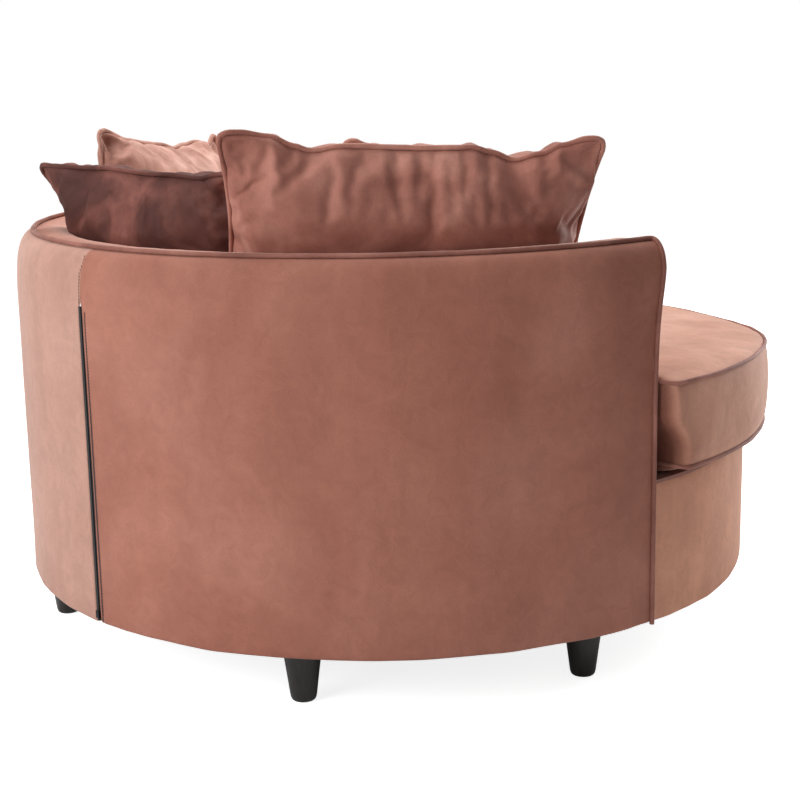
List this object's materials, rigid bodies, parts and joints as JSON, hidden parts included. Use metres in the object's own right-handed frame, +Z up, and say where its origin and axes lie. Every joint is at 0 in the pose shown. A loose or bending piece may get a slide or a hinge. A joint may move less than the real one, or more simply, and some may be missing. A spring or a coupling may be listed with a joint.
{
  "type": "round armchair",
  "caption": "Round upholstered armchair: curved wall for back and arms, round loose seat cushion, loose pillows, tapered feet and a zip down the back.",
  "frame": {"origin": "floor level, middle of the overall footprint", "axes": "+Z up, the front of the seat along -Y, the middle of the back along +Y, the sitter's right arm on -X"},
  "size_m": [1.3178, 1.2808, 0.8418],
  "materials": {
    "foot_wood": "satin",
    "plate_steel": "satin",
    "frame_wood": "matte",
    "board": "matte",
    "webbing": "matte",
    "deck_cloth": "matte",
    "foam": "matte",
    "shell_velvet": "matte",
    "seat_velvet": "matte",
    "pillow_velvet": "matte",
    "piping": "matte",
    "fibre": "matte",
    "zip_tape": "matte",
    "slider_metal": "satin",
    "dust_cloth": "matte"
  },
  "bodies": {
    "chair": {"foot_back_left": "foot_wood", "foot_back_right": "foot_wood", "foot_side_left": "foot_wood", "foot_side_right": "foot_wood", "foot_front_left": "foot_wood", "foot_front_right": "foot_wood", "foot_plates": "plate_steel", "base_rail_back": "frame_wood", "base_rail_front": "frame_wood", "back_post_left_1": "frame_wood", "back_post_left_2": "frame_wood", "back_post_left_3": "frame_wood", "back_post_right_1": "frame_wood", "back_post_right_2": "frame_wood", "back_post_right_3": "frame_wood", "front_post_left_1": "frame_wood", "front_post_left_2": "frame_wood", "front_post_right_1": "frame_wood", "front_post_right_2": "frame_wood", "base_ring": "frame_wood", "rim_ring": "frame_wood", "deck_ring": "frame_wood", "outer_board": "board", "front_board": "board", "webbing_along": "webbing", "webbing_across": "webbing", "deck_pad": "deck_cloth", "inner_foam": "foam", "outer_wadding": "foam", "front_wadding": "foam", "arm_front_pad_left": "foam", "arm_front_pad_right": "foam", "inner_cover": "shell_velvet", "outside_back_left": "shell_velvet", "outside_back_right": "shell_velvet", "front_cover": "shell_velvet", "arm_front_cover_left": "shell_velvet", "arm_piping_left": "piping", "zip_side_left": "zip_tape", "arm_front_cover_right": "shell_velvet", "arm_piping_right": "piping", "zip_side_right": "zip_tape", "rim_piping": "piping", "dust_cloth": "dust_cloth"},
    "seat_cushion": {"seat_cushion_cover": "seat_velvet", "seat_cushion_foam": "foam"},
    "zip_slider": {"zip_slider": "slider_metal"},
    "pillow_right": {"pillow_right_cover": "pillow_velvet", "pillow_right_filling": "fibre"},
    "pillow_back": {"pillow_back_cover": "pillow_velvet", "pillow_back_filling": "fibre"},
    "pillow_left": {"pillow_left_cover": "pillow_velvet", "pillow_left_filling": "fibre"},
    "pillow_middle": {"pillow_middle_cover": "pillow_velvet", "pillow_middle_filling": "fibre"}
  },
  "joints": [
    {"name": "seat_cushion_lift", "type": "slide", "parent": "chair", "child": "seat_cushion", "axis": [0, 0, 1], "range_m": [0, 0.3]},
    {"name": "zip_travel", "type": "slide", "parent": "chair", "child": "zip_slider", "axis": [0, 0, 1], "range_m": [0, 0.465]},
    {"name": "pillow_right_lift", "type": "slide", "parent": "seat_cushion", "child": "pillow_right", "axis": [-0.3815, 0.2991, 0.8746], "range_m": [0, 0.15]},
    {"name": "pillow_back_lift", "type": "slide", "parent": "seat_cushion", "child": "pillow_back", "axis": [-0.0475, 0.5426, 0.8387], "range_m": [0, 0.25]},
    {"name": "pillow_left_lift", "type": "slide", "parent": "seat_cushion", "child": "pillow_left", "axis": [0, 0, 1], "range_m": [0, 0.25]},
    {"name": "pillow_middle_lift", "type": "slide", "parent": "seat_cushion", "child": "pillow_middle", "axis": [0, 0, 1], "range_m": [0, 0.25]}
  ]
}
